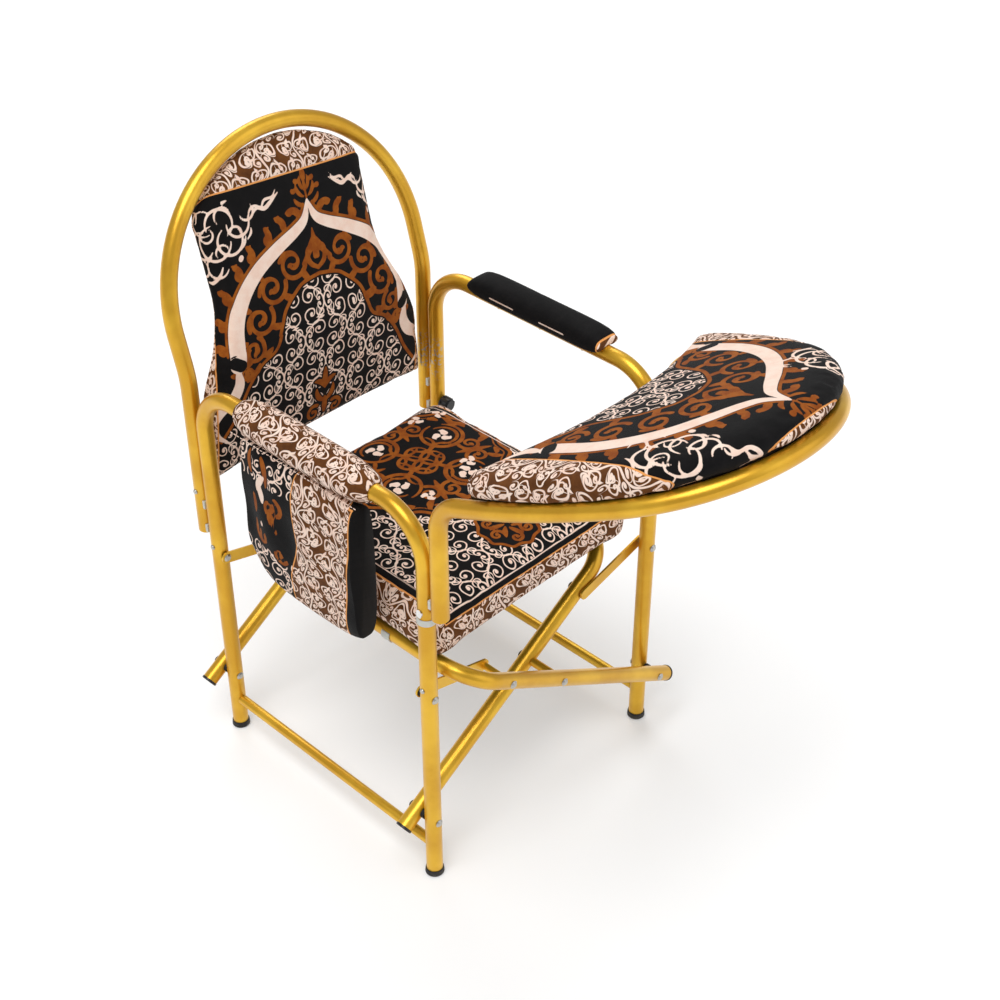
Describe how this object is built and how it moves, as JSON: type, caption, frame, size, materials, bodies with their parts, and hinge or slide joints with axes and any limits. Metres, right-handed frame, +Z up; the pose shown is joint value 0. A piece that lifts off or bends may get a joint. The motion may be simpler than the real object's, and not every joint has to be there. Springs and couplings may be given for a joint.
{
  "type": "folding prayer chair",
  "caption": "Folding chair with a gold tube X-frame, arms, side pocket, arched cushioned back and a raised arched cushion table in front.",
  "frame": {"origin": "on the floor, in the middle of the chair's outline seen from above", "axes": "+X to the sitter's left, the chair faces -Y, +Z up"},
  "size_m": [0.542, 0.9896, 0.9633],
  "materials": {
    "gold_paint": "satin gold paint",
    "foot_rubber": "matt black",
    "cap_plastic": "matt black",
    "washer_rubber": "matt black",
    "rivet_steel": "bright zinc",
    "plate_chrome": "polished",
    "clip_plastic": "matt light grey",
    "knob_plastic": "matt black",
    "black_cloth": "black woven cloth over foam",
    "printed_cloth": "printed woven cloth over foam, brown, cream and black",
    "board_wood": "dark stained panel"
  },
  "bodies": {
    "right_side": {"side_frame_right": "gold_paint", "foot_front_right": "foot_rubber", "foot_rear_right": "foot_rubber", "stretcher_right": "gold_paint", "arm_pad_right": "printed_cloth", "side_pocket": "printed_cloth", "pivot_rivet_front_right": "rivet_steel", "pivot_rivet_rear_right": "rivet_steel", "link_rivet_front_right": "rivet_steel", "link_rivet_rear_right": "rivet_steel", "link_washer_front_right": "washer_rubber", "link_washer_rear_right": "washer_rubber", "side_screws": "rivet_steel", "leg_band": "clip_plastic", "leg_plate": "plate_chrome"},
    "cross_b": {"cross_frame_b": "gold_paint", "cap_b_front": "cap_plastic", "cap_b_rear": "cap_plastic", "pivot_washer_front_right": "rivet_steel", "pivot_washer_rear_right": "rivet_steel", "centre_rivet_front": "rivet_steel", "centre_rivet_rear": "rivet_steel", "centre_spacer_front": "gold_paint", "centre_spacer_rear": "gold_paint", "stud_b_front": "rivet_steel", "stud_b_rear": "rivet_steel"},
    "cross_a": {"cross_frame_a": "gold_paint", "cap_a_front": "cap_plastic", "cap_a_rear": "cap_plastic", "pivot_washer_front_left": "rivet_steel", "pivot_washer_rear_left": "rivet_steel", "stud_a_front": "rivet_steel", "stud_a_rear": "rivet_steel", "seat_clip": "clip_plastic"},
    "left_side": {"side_frame_left": "gold_paint", "foot_front_left": "foot_rubber", "foot_rear_left": "foot_rubber", "stretcher_left": "gold_paint", "arm_pad_left": "black_cloth", "pad_screws": "rivet_steel", "pivot_rivet_front_left": "rivet_steel", "pivot_rivet_rear_left": "rivet_steel", "link_rivet_front_left": "rivet_steel", "link_rivet_rear_left": "rivet_steel"},
    "link_front_right": {"link_front_right": "gold_paint"},
    "link_rear_right": {"link_rear_right": "gold_paint"},
    "link_front_left": {"link_front_left": "gold_paint"},
    "link_rear_left": {"link_rear_left": "gold_paint"},
    "seat": {"seat_cushion": "printed_cloth"},
    "knob": {"clamp_knob": "knob_plastic"},
    "backrest": {"back_hoop": "gold_paint", "back_cushion": "printed_cloth", "back_spacers": "clip_plastic", "back_screws": "rivet_steel"},
    "table": {"table_hoop": "gold_paint", "table_board": "board_wood", "table_cushion": "printed_cloth", "table_spacers": "clip_plastic"}
  },
  "joints": [
    {"name": "fold", "type": "hinge", "parent": "right_side", "child": "cross_b", "pos_m": [-0.233, 0.1507, 0.112], "axis": [0, -1, 0], "range_deg": [0, 28.5], "deforming": ["seat_cushion"]},
    {"name": "centre_pivot", "type": "hinge", "parent": "cross_b", "child": "cross_a", "pos_m": [0, 0.1507, 0.2576], "axis": [0, 1, 0], "range_deg": [0, 57.02]},
    {"name": "left_pivot", "type": "hinge", "parent": "cross_a", "child": "left_side", "pos_m": [0.233, 0.1507, 0.112], "axis": [0, -1, 0], "range_deg": [0, 28.51]},
    {"name": "seat_level", "type": "hinge", "parent": "cross_a", "child": "seat", "pos_m": [-0.188, 0.1507, 0.37507], "axis": [0, -1, 0], "range_deg": [0, 28.51]},
    {"name": "link_turn_front_right", "type": "hinge", "parent": "right_side", "child": "link_front_right", "pos_m": [-0.233, -0.0773, 0.35875], "axis": [0, -1, 0], "range_deg": [0, 70.66]},
    {"name": "link_turn_rear_right", "type": "hinge", "parent": "right_side", "child": "link_rear_right", "pos_m": [-0.233, 0.3787, 0.35875], "axis": [0, -1, 0], "range_deg": [0, 70.66]},
    {"name": "link_turn_front_left", "type": "hinge", "parent": "left_side", "child": "link_front_left", "pos_m": [0.233, -0.0773, 0.35875], "axis": [0, 1, 0], "range_deg": [0, 70.66]},
    {"name": "link_turn_rear_left", "type": "hinge", "parent": "left_side", "child": "link_rear_left", "pos_m": [0.233, 0.3787, 0.35875], "axis": [0, 1, 0], "range_deg": [0, 70.66]},
    {"name": "knob_turn", "type": "hinge", "parent": "left_side", "child": "knob", "pos_m": [0.233, 0.3787, 0.416], "axis": [0, -1, 0], "continuous": true},
    {"name": "back_lift", "type": "slide", "parent": "right_side", "child": "backrest", "axis": [0, 0, 1], "range_m": [0, 0.1001]},
    {"name": "table_lift", "type": "slide", "parent": "right_side", "child": "table", "axis": [0, 0, 1], "range_m": [0, 0.08]}
  ],
  "couplings": [
    {"joint": "centre_pivot", "follows": "fold", "ratio": 2},
    {"joint": "left_pivot", "follows": "fold", "ratio": 1},
    {"joint": "seat_level", "follows": "fold", "ratio": 1},
    {"joint": "link_turn_front_right", "follows": "fold", "ratio": 2.4775},
    {"joint": "link_turn_rear_right", "follows": "fold", "ratio": 2.4775},
    {"joint": "link_turn_front_left", "follows": "fold", "ratio": 2.4775},
    {"joint": "link_turn_rear_left", "follows": "fold", "ratio": 2.4775},
    {"joint": "back_lift", "follows": "fold", "m_per_rad": 0.20104}
  ]
}
